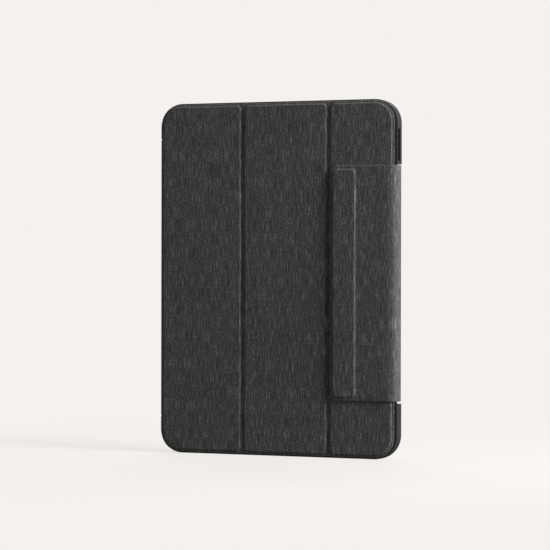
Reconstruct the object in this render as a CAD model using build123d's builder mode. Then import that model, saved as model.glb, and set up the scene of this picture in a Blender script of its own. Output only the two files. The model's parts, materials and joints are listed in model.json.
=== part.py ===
from build123d import *
import os

os.makedirs("parts", exist_ok=True)

# Keyboard case for an 11-inch class tablet, closed and standing upright on its short edge.
# +X is to the right seen from the cover, the cover faces -Y, +Z is up.
# The origin is at the middle of the base of the closed case. All sizes are in millimetres.

# ---------------------------------------------------------------- driving dimensions
TABLET_WIDTH = 178.5
TABLET_HEIGHT = 247.6
TABLET_CORNER = 14.0
FIT = 0.35  # clearance round the tablet

CASE_WIDTH = 184.0
CASE_HEIGHT = 253.0
CASE_DEPTH = 9.6
CASE_CORNER = 17.0
BACK_WALL = 1.6
BACK_ROUND = 1.4
LIP = 0.8  # how far the lip reaches over the tablet
LIP_THICK = 0.9
LINING = 0.5
STRAP_POCKET = 0.6  # recess in the back that a bonded strap lies in

COVER_GAP = 0.3
COVER_LEFT = -91.2
COVER_RIGHT = 90.2
COVER_MARGIN = 0.9  # cover is this much shorter than the tray at top and bottom
COVER_CORNER = 14.5
COVER_LINING = 0.4
FABRIC = 0.6
BOARD = 1.0
FOLD_LEFT = -26.1
FOLD_RIGHT = 40.5
FOLD_GAP = 0.3  # cloth of each panel stops this far from the fold line
GROOVE_HALF = 2.15  # a board's raised edge to the fold line
RIM = 2.1  # flat cloth margin round the boards
RIM_CORNER = 3.0

STRAP = 1.0  # cloth and lining together
SPINE_LOW = 27.0
SPINE_HIGH = 227.0
SPINE_THICK = 1.2
SPINE_FRONT_CLEAR = 0.4
SPINE_BACK_CLEAR = 1.2
SPINE_END_GAP = 1.0  # between the spine and the ends of its recess

FLAP_LOW = 40.6
FLAP_HIGH = 206.5
FLAP_FREE_EDGE = 42.2
FLAP_CORNER = 6.5
FLAP_LINING = 0.4
FLAP_FRONT_RADIUS = 3.9
FLAP_BACK_RADIUS = 3.0
FLAP_HINGE_GAP = 0.6
BAR_LEFT = 44.6
BAR_RIGHT = 61.7
NOTCH_LOW = 39.0
NOTCH_HIGH = 207.1

KEYBOARD_LENGTH = 246.0
KEYBOARD_WIDTH = 118.0
KEYBOARD_MIDDLE = -16.5
KEYBOARD_CORNER = 10.0
DOCK_GAP = 0.3
FOOT = 0.6
BASE_FLOOR = 1.0
BASE_HEIGHT = 2.8
BASE_WALL = 1.4
DECK = 1.6
KEY_PITCH = 17.0
KEY_CAP = 14.8
KEY_GAP = KEY_PITCH - KEY_CAP
KEY_UNDERSIDE = 2.9
KEY_RISE = 0.8  # cap above the deck
KEY_CLEAR = 0.35
FUNCTION_PITCH = 10.0
FUNCTION_CAP = 7.8
ARROW_GAP = 0.8  # between the two half-height arrow keys
BASE_CHAMFER = 0.6
DECK_CHAMFER = 0.5

# ---------------------------------------------------------------- depths, front to back
front_stack = COVER_GAP + COVER_LINING + FABRIC + BOARD + COVER_GAP + STRAP + BOARD
back_stack = CASE_DEPTH + DOCK_GAP + FOOT + BASE_HEIGHT + DECK + KEY_RISE
RIM_Y = (front_stack - back_stack) / 2
TRAY_BACK = RIM_Y + CASE_DEPTH
TRAY_FLOOR = TRAY_BACK - BACK_WALL
LIP_BACK = RIM_Y + LIP_THICK
COVER_BACK = RIM_Y - COVER_GAP
COVER_CLOTH = COVER_BACK - COVER_LINING
COVER_RIM = COVER_CLOTH - FABRIC
COVER_FACE = COVER_RIM - BOARD
FLAP_BACK = COVER_FACE - COVER_GAP
FLAP_FACE = FLAP_BACK - STRAP
STRAP_INNER = TRAY_BACK - STRAP_POCKET
STRAP_OUTER = STRAP_INNER + STRAP
KEYBOARD_Y = TRAY_BACK + DOCK_GAP + FOOT
DECK_TOP = BASE_HEIGHT + DECK

MIDDLE_Z = CASE_HEIGHT / 2
CAVITY_WIDTH = TABLET_WIDTH + 2 * FIT
CAVITY_HEIGHT = TABLET_HEIGHT + 2 * FIT
FLAP_SIDE_X = CASE_WIDTH / 2
FLAP_TURN_X = FLAP_SIDE_X - FLAP_FRONT_RADIUS
FLAP_ROOT_X = FLAP_SIDE_X - FLAP_BACK_RADIUS
FLAP_FRONT_END = FLAP_TURN_X - FLAP_HINGE_GAP
FLAP_MIDDLE_Z = (FLAP_LOW + FLAP_HIGH) / 2
FLAP_LENGTH = FLAP_HIGH - FLAP_LOW
SPINE_MIDDLE_Z = (SPINE_LOW + SPINE_HIGH) / 2
SPINE_LENGTH = SPINE_HIGH - SPINE_LOW


def front_plane(y):
    """Upright plane at depth y: X stays X, sketch Y is Z, and extrude goes to the front."""
    return Plane.XZ.offset(-y)


def keyboard_plane(height):
    """Plane over the keyboard's base: X runs along its rows, Y to its top row, extrude outward."""
    return Plane(origin=(0, KEYBOARD_Y + height, 0), x_dir=(0, 0, 1), z_dir=(0, 1, 0))


# ================================================================ tray
CAMERA_X = 69.0
CAMERA_Z = 232.0
CAMERA_HOLE = 30.0
CAMERA_CORNER = 9.0
BEZEL = 1.6
BEZEL_RISE = 0.5
BEZEL_ROUND = 0.4
SOCKET_LOW = 1.4  # side openings start this far behind the rim
SOCKET_DEPTH = 5.0
PORT_WIDTH = 13.0
SPEAKER_WIDTH = 22.0
SPEAKER_DEPTH = 3.0
SPEAKER_X = 55.0
POWER_X = 67.0
POWER_WIDTH = 18.0
WINDOW_LOW = 209.6
WINDOW_HIGH = 232.0
WINDOW_START = 1.0  # behind the rim
WINDOW_DEPTH = 4.6
WALL_CUT = 8.0  # a cutter this long passes through a side wall
SPINE_RECESS = 1.5
MAGNET_X = (-60.0, 26.0)
MAGNET_Z = (40.0, 123.0, 206.0)
MAGNET_WIDTH = 10.0
MAGNET_LENGTH = 24.0
MAGNET_THICK = 1.0
ROOT_NOTCH_X = FLAP_ROOT_X - FLAP_HINGE_GAP
FLAP_ANCHOR_WIDTH = 15.4
THROUGH = 4 * CASE_DEPTH  # long enough to cut through the tray either way
SPINE_ANCHOR_LEFT = -90.4
SPINE_ANCHOR_RIGHT = -78.3
STRAP_CLEAR = 0.3

opening_y = RIM_Y + SOCKET_LOW + SOCKET_DEPTH / 2

with BuildPart() as tray_shell:
    with BuildSketch(front_plane(TRAY_BACK)):
        with Locations((0, MIDDLE_Z)):
            RectangleRounded(CASE_WIDTH, CASE_HEIGHT, CASE_CORNER)
    extrude(amount=CASE_DEPTH)
    fillet(tray_shell.faces().sort_by(Axis.Y)[-1].edges(), BACK_ROUND)
    with BuildSketch(front_plane(TRAY_FLOOR)):
        with Locations((0, MIDDLE_Z)):
            RectangleRounded(CAVITY_WIDTH, CAVITY_HEIGHT, TABLET_CORNER)
    extrude(amount=TRAY_FLOOR - LIP_BACK, mode=Mode.SUBTRACT)
    with BuildSketch(front_plane(LIP_BACK)):
        with Locations((0, MIDDLE_Z)):
            RectangleRounded(CAVITY_WIDTH - 2 * LIP, CAVITY_HEIGHT - 2 * LIP, TABLET_CORNER - LIP)
    extrude(amount=LIP_THICK, mode=Mode.SUBTRACT)
    # the right wall and the edge of the back are cut away where the flap passes
    with Locations(((ROOT_NOTCH_X + CASE_WIDTH) / 2, RIM_Y, (NOTCH_LOW + NOTCH_HIGH) / 2)):
        Box(CASE_WIDTH - ROOT_NOTCH_X, THROUGH, NOTCH_HIGH - NOTCH_LOW, mode=Mode.SUBTRACT)
    # the left wall is thinned where the cloth spine lies
    with Locations((-(CASE_WIDTH + WALL_CUT) / 2 + SPINE_RECESS, RIM_Y, SPINE_MIDDLE_Z)):
        Box(WALL_CUT, THROUGH, SPINE_LENGTH + 2 * SPINE_END_GAP, mode=Mode.SUBTRACT)
    # button window in the right wall
    with Locations((CASE_WIDTH / 2, RIM_Y + WINDOW_START + WINDOW_DEPTH / 2, (WINDOW_LOW + WINDOW_HIGH) / 2)):
        Box(WALL_CUT, WINDOW_DEPTH, WINDOW_HIGH - WINDOW_LOW, mode=Mode.SUBTRACT)
    # charging port and top button
    with Locations((0, opening_y, 0)):
        Box(PORT_WIDTH, SOCKET_DEPTH, WALL_CUT, mode=Mode.SUBTRACT)
    with Locations((POWER_X, opening_y, CASE_HEIGHT)):
        Box(POWER_WIDTH, SOCKET_DEPTH, WALL_CUT, mode=Mode.SUBTRACT)
    # loudspeaker slots in both short walls
    for side in (-SPEAKER_X, SPEAKER_X):
        with Locations((side, opening_y, 0)):
            Box(SPEAKER_WIDTH, SPEAKER_DEPTH, WALL_CUT, mode=Mode.SUBTRACT)
    for side in (-SPEAKER_X, SPEAKER_X - SPEAKER_WIDTH):
        with Locations((side, opening_y, CASE_HEIGHT)):
            Box(SPEAKER_WIDTH, SPEAKER_DEPTH, WALL_CUT, mode=Mode.SUBTRACT)
    # camera opening, right through the back
    with BuildSketch(front_plane(TRAY_BACK)):
        with Locations((CAMERA_X, CAMERA_Z)):
            RectangleRounded(CAMERA_HOLE + 2 * BEZEL, CAMERA_HOLE + 2 * BEZEL, CAMERA_CORNER + BEZEL)
    extrude(amount=BACK_WALL, mode=Mode.SUBTRACT)
    # pockets that the two bonded straps lie in
    with Locations(((ROOT_NOTCH_X - FLAP_ANCHOR_WIDTH - STRAP_CLEAR + CASE_WIDTH / 2) / 2,
                    TRAY_BACK, FLAP_MIDDLE_Z)):
        Box(CASE_WIDTH / 2 - ROOT_NOTCH_X + FLAP_ANCHOR_WIDTH + STRAP_CLEAR, 2 * STRAP_POCKET,
            FLAP_LENGTH + 2 * STRAP_CLEAR, mode=Mode.SUBTRACT)
    with Locations(((SPINE_ANCHOR_RIGHT + STRAP_CLEAR - CASE_WIDTH / 2) / 2, TRAY_BACK, SPINE_MIDDLE_Z)):
        Box(SPINE_ANCHOR_RIGHT + STRAP_CLEAR + CASE_WIDTH / 2, 2 * STRAP_POCKET,
            SPINE_LENGTH + 2 * SPINE_END_GAP, mode=Mode.SUBTRACT)
    # pockets for the dock magnets, open to the inside
    with Locations([(x, TRAY_FLOOR + MAGNET_THICK / 2, z) for x in MAGNET_X for z in MAGNET_Z]):
        Box(MAGNET_WIDTH, MAGNET_THICK, MAGNET_LENGTH, mode=Mode.SUBTRACT)
tray_shell.part.label = "tray_shell"
export_step(tray_shell.part, "parts/tray_shell.step")

LINING_MARGIN = 0.6
with BuildPart() as tray_lining:
    with BuildSketch(front_plane(TRAY_FLOOR)):
        with Locations((0, MIDDLE_Z)):
            RectangleRounded(CAVITY_WIDTH - 2 * LINING_MARGIN, CAVITY_HEIGHT - 2 * LINING_MARGIN,
                             TABLET_CORNER - LINING_MARGIN)
        with Locations((ROOT_NOTCH_X - LINING_MARGIN - CASE_WIDTH / 2, MIDDLE_Z)):
            Rectangle(CASE_WIDTH, CASE_HEIGHT, mode=Mode.INTERSECT)
        with Locations((CAMERA_X, CAMERA_Z)):
            RectangleRounded(CAMERA_HOLE + 4 * BEZEL, CAMERA_HOLE + 4 * BEZEL,
                             CAMERA_CORNER + 2 * BEZEL, mode=Mode.SUBTRACT)
    extrude(amount=LINING)
tray_lining.part.label = "tray_lining"
export_step(tray_lining.part, "parts/tray_lining.step")

with BuildPart() as camera_bezel:
    with BuildSketch(front_plane(TRAY_BACK + BEZEL_RISE)):
        with Locations((CAMERA_X, CAMERA_Z)):
            RectangleRounded(CAMERA_HOLE + 2 * BEZEL, CAMERA_HOLE + 2 * BEZEL, CAMERA_CORNER + BEZEL)
            RectangleRounded(CAMERA_HOLE, CAMERA_HOLE, CAMERA_CORNER, mode=Mode.SUBTRACT)
    extrude(amount=BACK_WALL + BEZEL_RISE)
    fillet(camera_bezel.faces().sort_by(Axis.Y)[-1].edges(), BEZEL_ROUND)
camera_bezel.part.label = "camera_bezel"
export_step(camera_bezel.part, "parts/camera_bezel.step")

with BuildPart() as dock_magnets:
    with Locations([(x, TRAY_FLOOR + MAGNET_THICK / 2, z) for x in MAGNET_X for z in MAGNET_Z]):
        Box(MAGNET_WIDTH, MAGNET_THICK, MAGNET_LENGTH)
dock_magnets.part.label = "dock_magnets"
export_step(dock_magnets.part, "parts/dock_magnets.step")

with BuildPart() as spine_anchor:
    with BuildSketch(front_plane(STRAP_OUTER)):
        with Locations(((SPINE_ANCHOR_LEFT + SPINE_ANCHOR_RIGHT) / 2, SPINE_MIDDLE_Z)):
            Rectangle(SPINE_ANCHOR_RIGHT - SPINE_ANCHOR_LEFT, SPINE_LENGTH)
    extrude(amount=STRAP)
spine_anchor.part.label = "spine_anchor"
export_step(spine_anchor.part, "parts/spine_anchor.step")

with BuildPart() as flap_anchor:
    with BuildSketch(front_plane(STRAP_OUTER)):
        with Locations((ROOT_NOTCH_X - FLAP_ANCHOR_WIDTH / 2, FLAP_MIDDLE_Z)):
            Rectangle(FLAP_ANCHOR_WIDTH, FLAP_LENGTH)
    extrude(amount=STRAP)
flap_anchor.part.label = "flap_anchor"
export_step(flap_anchor.part, "parts/flap_anchor.step")

# ================================================================ spine
SPINE_CLOTH = 0.5
SPINE_BOARD = 0.35
SPINE_BOARD_MARGIN = 1.2
spine_front = RIM_Y + SPINE_FRONT_CLEAR
spine_back = TRAY_BACK - SPINE_BACK_CLEAR
spine_layers = (
    ("spine_fabric", 0, SPINE_CLOTH, 0),
    ("spine_board", SPINE_CLOTH, SPINE_BOARD, SPINE_BOARD_MARGIN),
    ("spine_lining", SPINE_CLOTH + SPINE_BOARD, SPINE_THICK - SPINE_CLOTH - SPINE_BOARD, 0),
)
for name, start, thickness, margin in spine_layers:
    layer_x = start + thickness / 2 - CASE_WIDTH / 2
    with BuildPart() as layer:
        with Locations((layer_x, (spine_front + spine_back) / 2, SPINE_MIDDLE_Z)):
            Box(thickness, spine_back - spine_front - 2 * margin, SPINE_LENGTH - 2 * margin)
    layer.part.label = name
    export_step(layer.part, f"parts/{name}.step")

# ================================================================ cover panels
COVER_WIDTH = COVER_RIGHT - COVER_LEFT
COVER_HEIGHT = CASE_HEIGHT - 2 * COVER_MARGIN
COVER_MIDDLE = (COVER_LEFT + COVER_RIGHT) / 2
LINING_INSET = 0.8
EDGE_SOFTNESS = 0.45
COVER_MAGNET_WIDTH = 8.0
COVER_MAGNET_LENGTH = 22.0
COVER_MAGNET_THICK = 0.8
COVER_MAGNET_Z = (34.0, 96.0, 158.0, 220.0)
FREE_EDGE = (0, RIM)  # cloth and board gap at a free edge
FOLD_EDGE = (FOLD_GAP, GROOVE_HALF + FABRIC)  # and beside a fold line


def panel_outline(left, right, inset):
    """Adds the strip of the cover's rounded outline between two upright lines."""
    with Locations((COVER_MIDDLE, MIDDLE_Z)):
        RectangleRounded(COVER_WIDTH - 2 * inset, COVER_HEIGHT - 2 * inset, COVER_CORNER - inset)
    with Locations(((left + right) / 2, MIDDLE_Z)):
        Rectangle(right - left, COVER_HEIGHT, mode=Mode.INTERSECT)


def board_outline(sketch, left, right, grow):
    """Adds a board's outline, with small corners beside the folds, grown by the cloth over it."""
    panel_outline(left - grow, right + grow, RIM - grow)
    corners = sketch.vertices()
    if left > COVER_LEFT + RIM:
        fillet(corners.group_by(Axis.X)[0], RIM_CORNER + grow)
    if right < COVER_RIGHT - RIM:
        fillet(sketch.vertices().group_by(Axis.X)[-1], RIM_CORNER + grow)


panels = (
    # name, left and right edge, how much the cloth and the board stop short of each, magnets at
    ("left", COVER_LEFT, FOLD_LEFT, FREE_EDGE, FOLD_EDGE, -80.0),
    ("middle", FOLD_LEFT, FOLD_RIGHT, FOLD_EDGE, FOLD_EDGE, 30.0),
    ("right", FOLD_RIGHT, COVER_RIGHT, FOLD_EDGE, FREE_EDGE, 80.0),
)
for name, left_edge, right_edge, left_gaps, right_gaps, magnet_x in panels:
    cloth_left = left_edge + left_gaps[0]
    cloth_right = right_edge - right_gaps[0]
    board_left = left_edge + left_gaps[1]
    board_right = right_edge - right_gaps[1]
    magnet_places = [(magnet_x, z) for z in COVER_MAGNET_Z]

    with BuildPart() as panel_fabric:
        with BuildSketch(front_plane(COVER_CLOTH)):
            panel_outline(cloth_left, cloth_right, 0)
        extrude(amount=FABRIC)
        with BuildSketch(front_plane(COVER_RIM)) as raised:
            board_outline(raised, board_left, board_right, FABRIC)
        extrude(amount=BOARD)
        fillet(panel_fabric.faces().sort_by(Axis.Y)[0].edges(), EDGE_SOFTNESS)
        with BuildSketch(front_plane(COVER_CLOTH)) as pocket:
            board_outline(pocket, board_left, board_right, 0)
        extrude(amount=BOARD, mode=Mode.SUBTRACT)
    panel_fabric.part.label = f"{name}_fabric"
    export_step(panel_fabric.part, f"parts/{name}_fabric.step")

    with BuildPart() as panel_board:
        with BuildSketch(front_plane(COVER_CLOTH)) as outline:
            board_outline(outline, board_left, board_right, 0)
        extrude(amount=BOARD)
        with BuildSketch(front_plane(COVER_CLOTH)):
            with Locations(magnet_places):
                Rectangle(COVER_MAGNET_WIDTH, COVER_MAGNET_LENGTH)
        extrude(amount=COVER_MAGNET_THICK, mode=Mode.SUBTRACT)
    panel_board.part.label = f"{name}_board"
    export_step(panel_board.part, f"parts/{name}_board.step")

    with BuildPart() as panel_magnets:
        with BuildSketch(front_plane(COVER_CLOTH)):
            with Locations(magnet_places):
                Rectangle(COVER_MAGNET_WIDTH, COVER_MAGNET_LENGTH)
        extrude(amount=COVER_MAGNET_THICK)
    panel_magnets.part.label = f"{name}_magnets"
    export_step(panel_magnets.part, f"parts/{name}_magnets.step")

    with BuildPart() as panel_lining:
        with BuildSketch(front_plane(COVER_BACK)):
            panel_outline(cloth_left, cloth_right, LINING_INSET)
        extrude(amount=COVER_LINING)
    panel_lining.part.label = f"{name}_lining"
    export_step(panel_lining.part, f"parts/{name}_lining.step")

# ================================================================ closing flap
turn_front_y = FLAP_FACE + FLAP_FRONT_RADIUS
turn_back_y = STRAP_OUTER - FLAP_BACK_RADIUS
FLAP_CLOTH = STRAP - FLAP_LINING
side_layers = (
    ("flap_side_fabric", 0, FLAP_CLOTH),
    ("flap_side_lining", FLAP_CLOTH, STRAP),
)
for name, outer, inner in side_layers:
    with BuildPart() as layer:
        with BuildSketch(Plane.XY.offset(FLAP_LOW)):
            with BuildLine():
                front_turn = CenterArc((FLAP_TURN_X, turn_front_y), FLAP_FRONT_RADIUS - outer, -90, 90)
                Line(front_turn @ 1, (FLAP_SIDE_X - outer, turn_back_y))
                back_turn = CenterArc((FLAP_ROOT_X, turn_back_y), FLAP_BACK_RADIUS - outer, 0, 90)
                Line(back_turn @ 1, (FLAP_ROOT_X, STRAP_OUTER - inner))
                inner_back = CenterArc((FLAP_ROOT_X, turn_back_y), FLAP_BACK_RADIUS - inner, 90, -90)
                Line(inner_back @ 1, (FLAP_SIDE_X - inner, turn_front_y))
                inner_front = CenterArc((FLAP_TURN_X, turn_front_y), FLAP_FRONT_RADIUS - inner, 0, -90)
                Line(inner_front @ 1, front_turn @ 0)
            make_face()
        extrude(amount=FLAP_LENGTH)
    layer.part.label = name
    export_step(layer.part, f"parts/{name}.step")

BAR_MARGIN = 3.2  # flat cloth above and below the magnet bar
BAR_CORNER = 1.0
FLAP_MAGNET_LENGTH = 18.0
FLAP_MAGNET_THICK = 0.8
FLAP_MAGNET_Z = (56.0, 89.7, 123.3, 157.0, 190.6)
bar_middle = (BAR_LEFT + BAR_RIGHT) / 2
flap_magnet_places = [(bar_middle, z) for z in FLAP_MAGNET_Z]
flap_cloth_back = FLAP_BACK - FLAP_LINING


def flap_outline(sketch, inset):
    """Adds the free part of the flap, with its two rounded free corners."""
    left = FLAP_FREE_EDGE + inset
    with Locations(((left + FLAP_FRONT_END) / 2, FLAP_MIDDLE_Z)):
        Rectangle(FLAP_FRONT_END - left, FLAP_LENGTH - 2 * inset)
    fillet(sketch.vertices().group_by(Axis.X)[0], FLAP_CORNER - inset)


def bar_outline(sketch, grow):
    """Adds the magnet bar's outline, grown by the cloth over it."""
    with Locations((bar_middle, FLAP_MIDDLE_Z)):
        Rectangle(BAR_RIGHT - BAR_LEFT + 2 * grow - 2 * FLAP_CLOTH,
                  FLAP_LENGTH - 2 * BAR_MARGIN + 2 * grow)
    fillet(sketch.vertices().group_by(Axis.X)[0], FLAP_CORNER - BAR_MARGIN + grow)
    fillet(sketch.vertices().group_by(Axis.X)[-1], BAR_CORNER + grow)


with BuildPart() as flap_front_fabric:
    with BuildSketch(front_plane(flap_cloth_back)) as sheet:
        flap_outline(sheet, 0)
    extrude(amount=FLAP_CLOTH)
    with BuildSketch(front_plane(FLAP_FACE)) as raised:
        bar_outline(raised, FLAP_CLOTH)
    extrude(amount=BOARD)
    fillet(flap_front_fabric.faces().sort_by(Axis.Y)[0].edges(), EDGE_SOFTNESS)
    with BuildSketch(front_plane(flap_cloth_back)) as pocket:
        bar_outline(pocket, 0)
    extrude(amount=BOARD, mode=Mode.SUBTRACT)
flap_front_fabric.part.label = "flap_front_fabric"
export_step(flap_front_fabric.part, "parts/flap_front_fabric.step")

with BuildPart() as flap_front_lining:
    with BuildSketch(front_plane(FLAP_BACK)) as sheet:
        flap_outline(sheet, LINING_INSET)
    extrude(amount=FLAP_LINING)
flap_front_lining.part.label = "flap_front_lining"
export_step(flap_front_lining.part, "parts/flap_front_lining.step")

with BuildPart() as flap_bar:
    with BuildSketch(front_plane(flap_cloth_back)) as outline:
        bar_outline(outline, 0)
    extrude(amount=BOARD)
    with BuildSketch(front_plane(flap_cloth_back)):
        with Locations(flap_magnet_places):
            Rectangle(COVER_MAGNET_WIDTH, FLAP_MAGNET_LENGTH)
    extrude(amount=FLAP_MAGNET_THICK, mode=Mode.SUBTRACT)
flap_bar.part.label = "flap_bar"
export_step(flap_bar.part, "parts/flap_bar.step")

with BuildPart() as flap_magnets:
    with BuildSketch(front_plane(flap_cloth_back)):
        with Locations(flap_magnet_places):
            Rectangle(COVER_MAGNET_WIDTH, FLAP_MAGNET_LENGTH)
    extrude(amount=FLAP_MAGNET_THICK)
flap_magnets.part.label = "flap_magnets"
export_step(flap_magnets.part, "parts/flap_magnets.step")

# ================================================================ keyboard
# Keyboard sketches use its own directions: X along the key rows, Y towards the function row.
KEY_MARGIN = 4.0
STRIP_OFFSET = 10.0  # from the key field's top edge
row_start = KEYBOARD_MIDDLE - KEYBOARD_WIDTH / 2 + KEY_MARGIN
keyboard_centre = (KEYBOARD_LENGTH / 2, KEYBOARD_MIDDLE)
function_row_y = row_start + 5 * KEY_PITCH + FUNCTION_PITCH / 2
strip_y = row_start + 5 * KEY_PITCH + FUNCTION_PITCH + STRIP_OFFSET  # middle of the electronics strip

SWITCH_X = 222.0
SWITCH_SLOT = 8.4
SWITCH_NUB = 4.8
SWITCH_WIDTH = 2.6
BUTTON_X = 204.0
BUTTON_RADIUS = 2.0
LENS_X = 194.0
LENS_RADIUS = 0.9
PORT_X = 150.0
SOCKET_WIDTH = 9.0
SOCKET_HEIGHT = 2.6
SOCKET_LENGTH = 7.0
PORT_LIFT = 1.1
STRIP_DEPTH = 12.0
SHEET_MARGIN = 2.0


def row_y(row):
    """Middle of a full-height key row, counted from the space bar's row."""
    return row_start + (row + 0.5) * KEY_PITCH


def key_x(start, width):
    """Middle of a key that starts at a number of key widths from the row's left end."""
    return KEY_MARGIN + (start + width / 2) * KEY_PITCH


def run_of_keys(start, count, y, depth=KEY_CAP):
    """A run of one-wide keys: (x, y, length, depth) of each."""
    return [(key_x(start + i, 1), y, KEY_CAP, depth) for i in range(count)]


def wide_key(start, width, row):
    """One key several widths long."""
    return [(key_x(start, width), row_y(row), width * KEY_PITCH - KEY_GAP, KEY_CAP)]


half_cap = (KEY_CAP - ARROW_GAP) / 2
arrow_offset = (KEY_CAP - half_cap) / 2
function_keys = run_of_keys(0, 14, function_row_y, FUNCTION_CAP)
number_keys = run_of_keys(0, 12, row_y(4))
upper_keys = run_of_keys(1.5, 11, row_y(3))
home_keys = run_of_keys(1.75, 10, row_y(2))
lower_keys = run_of_keys(2.25, 10, row_y(1))
modifier_keys = (run_of_keys(0, 3, row_y(0)) + wide_key(3, 1.25, 0) + wide_key(8.75, 1.25, 0)
                 + run_of_keys(10, 1, row_y(0)))
key_groups = {
    "function_keys": function_keys,
    "number_keys": number_keys,
    "upper_letter_keys": upper_keys,
    "home_letter_keys": home_keys,
    "lower_letter_keys": lower_keys,
    "modifier_keys": modifier_keys,
    "backspace_key": wide_key(12, 2, 4),
    "tab_key": wide_key(0, 1.5, 3),
    "backslash_key": wide_key(12.5, 1.5, 3),
    "caps_key": wide_key(0, 1.75, 2),
    "enter_key": wide_key(11.75, 2.25, 2),
    "left_shift_key": wide_key(0, 2.25, 1),
    "right_shift_key": wide_key(12.25, 1.75, 1),
    "space_bar": wide_key(4.25, 4.5, 0),
    "left_arrow_key": run_of_keys(11, 1, row_y(0)),
    "right_arrow_key": run_of_keys(13, 1, row_y(0)),
    "up_arrow_key": run_of_keys(12, 1, row_y(0) + arrow_offset, half_cap),
    "down_arrow_key": run_of_keys(12, 1, row_y(0) - arrow_offset, half_cap),
}
all_keys = [key for group in key_groups.values() for key in group]

with BuildPart() as keyboard_base:
    with BuildSketch(keyboard_plane(0)):
        with Locations(keyboard_centre):
            RectangleRounded(KEYBOARD_LENGTH, KEYBOARD_WIDTH, KEYBOARD_CORNER)
    extrude(amount=BASE_HEIGHT)
    chamfer(keyboard_base.faces().sort_by(Axis.Y)[0].edges(), BASE_CHAMFER)
    with BuildSketch(keyboard_plane(BASE_FLOOR)):
        with Locations(keyboard_centre):
            RectangleRounded(KEYBOARD_LENGTH - 2 * BASE_WALL, KEYBOARD_WIDTH - 2 * BASE_WALL,
                             KEYBOARD_CORNER - BASE_WALL)
    extrude(amount=BASE_HEIGHT - BASE_FLOOR, mode=Mode.SUBTRACT)
    # pockets for the magnets that meet the tray's
    with BuildSketch(keyboard_plane(BASE_FLOOR - FOOT)):
        with Locations([(z, x) for x in MAGNET_X for z in MAGNET_Z]):
            Rectangle(MAGNET_LENGTH, MAGNET_WIDTH)
    extrude(amount=FOOT, mode=Mode.SUBTRACT)
    # charging socket's way through the wall
    with BuildSketch(keyboard_plane(PORT_LIFT)):
        with Locations((PORT_X, KEYBOARD_MIDDLE + KEYBOARD_WIDTH / 2)):
            Rectangle(SOCKET_WIDTH, 2 * SOCKET_LENGTH)
    extrude(amount=BASE_HEIGHT, mode=Mode.SUBTRACT)
keyboard_base.part.label = "keyboard_base"
export_step(keyboard_base.part, "parts/keyboard_base.step")

with BuildPart() as keyboard_deck:
    with BuildSketch(keyboard_plane(BASE_HEIGHT)):
        with Locations(keyboard_centre):
            RectangleRounded(KEYBOARD_LENGTH, KEYBOARD_WIDTH, KEYBOARD_CORNER)
        for x, y, length, depth in all_keys:
            with Locations((x, y)):
                Rectangle(length + 2 * KEY_CLEAR, depth + 2 * KEY_CLEAR, mode=Mode.SUBTRACT)
        with Locations((key_x(12, 1), row_y(0))):
            Rectangle(KEY_CAP + 2 * KEY_CLEAR, KEY_CAP + 2 * KEY_CLEAR, mode=Mode.SUBTRACT)
        with Locations((SWITCH_X, strip_y)):
            Rectangle(SWITCH_SLOT, SWITCH_WIDTH + 2 * KEY_CLEAR, mode=Mode.SUBTRACT)
        with Locations((BUTTON_X, strip_y)):
            Circle(BUTTON_RADIUS + KEY_CLEAR, mode=Mode.SUBTRACT)
        with Locations((LENS_X, strip_y)):
            Circle(LENS_RADIUS, mode=Mode.SUBTRACT)
    extrude(amount=DECK)
    with BuildSketch(keyboard_plane(BASE_HEIGHT)):
        with Locations((PORT_X, KEYBOARD_MIDDLE + KEYBOARD_WIDTH / 2)):
            Rectangle(SOCKET_WIDTH, 2 * SOCKET_LENGTH)
    extrude(amount=PORT_LIFT + SOCKET_HEIGHT - BASE_HEIGHT, mode=Mode.SUBTRACT)
    deck_rim = keyboard_deck.faces().sort_by(Axis.Y)[-1].outer_wire().edges()
    chamfer(deck_rim, DECK_CHAMFER)
keyboard_deck.part.label = "keyboard_deck"
export_step(keyboard_deck.part, "parts/keyboard_deck.step")

# sheets under the keys: a stiff plate, then the switch membrane
PLATE = 0.5
MEMBRANE = 0.3
STRIP_GAP = 1.0
sheet_low = row_start - KEY_MARGIN + SHEET_MARGIN
sheet_high = strip_y - STRIP_DEPTH / 2 - STRIP_GAP
for name, start, thickness in (("support_plate", BASE_FLOOR, PLATE),
                               ("switch_membrane", BASE_FLOOR + PLATE, MEMBRANE)):
    with BuildPart() as sheet:
        with BuildSketch(keyboard_plane(start)) as outline:
            with Locations((KEYBOARD_LENGTH / 2, (sheet_low + sheet_high) / 2)):
                Rectangle(KEYBOARD_LENGTH - 2 * SHEET_MARGIN, sheet_high - sheet_low)
            fillet(outline.vertices().group_by(Axis.Y)[0], KEYBOARD_CORNER - SHEET_MARGIN)
        extrude(amount=thickness)
    sheet.part.label = name
    export_step(sheet.part, f"parts/{name}.step")

BOARD_LEFT = 162.0
BOARD_RIGHT = 236.0
BOARD_THICK = 0.8
with BuildPart() as circuit_board:
    with BuildSketch(keyboard_plane(BASE_FLOOR)):
        with Locations(((BOARD_LEFT + BOARD_RIGHT) / 2, strip_y)):
            Rectangle(BOARD_RIGHT - BOARD_LEFT, STRIP_DEPTH)
    extrude(amount=BOARD_THICK)
circuit_board.part.label = "circuit_board"
export_step(circuit_board.part, "parts/circuit_board.step")

TAIL_X = 176.0
TAIL_WIDTH = 12.0
TAIL_LENGTH = 5.0
TAIL_THICK = 0.2
with BuildPart() as flex_tail:
    with BuildSketch(keyboard_plane(BASE_FLOOR + BOARD_THICK)):
        with Locations((TAIL_X, sheet_high + STRIP_GAP / 2)):
            Rectangle(TAIL_WIDTH, TAIL_LENGTH)
    extrude(amount=TAIL_THICK)
flex_tail.part.label = "flex_tail"
export_step(flex_tail.part, "parts/flex_tail.step")

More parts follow.
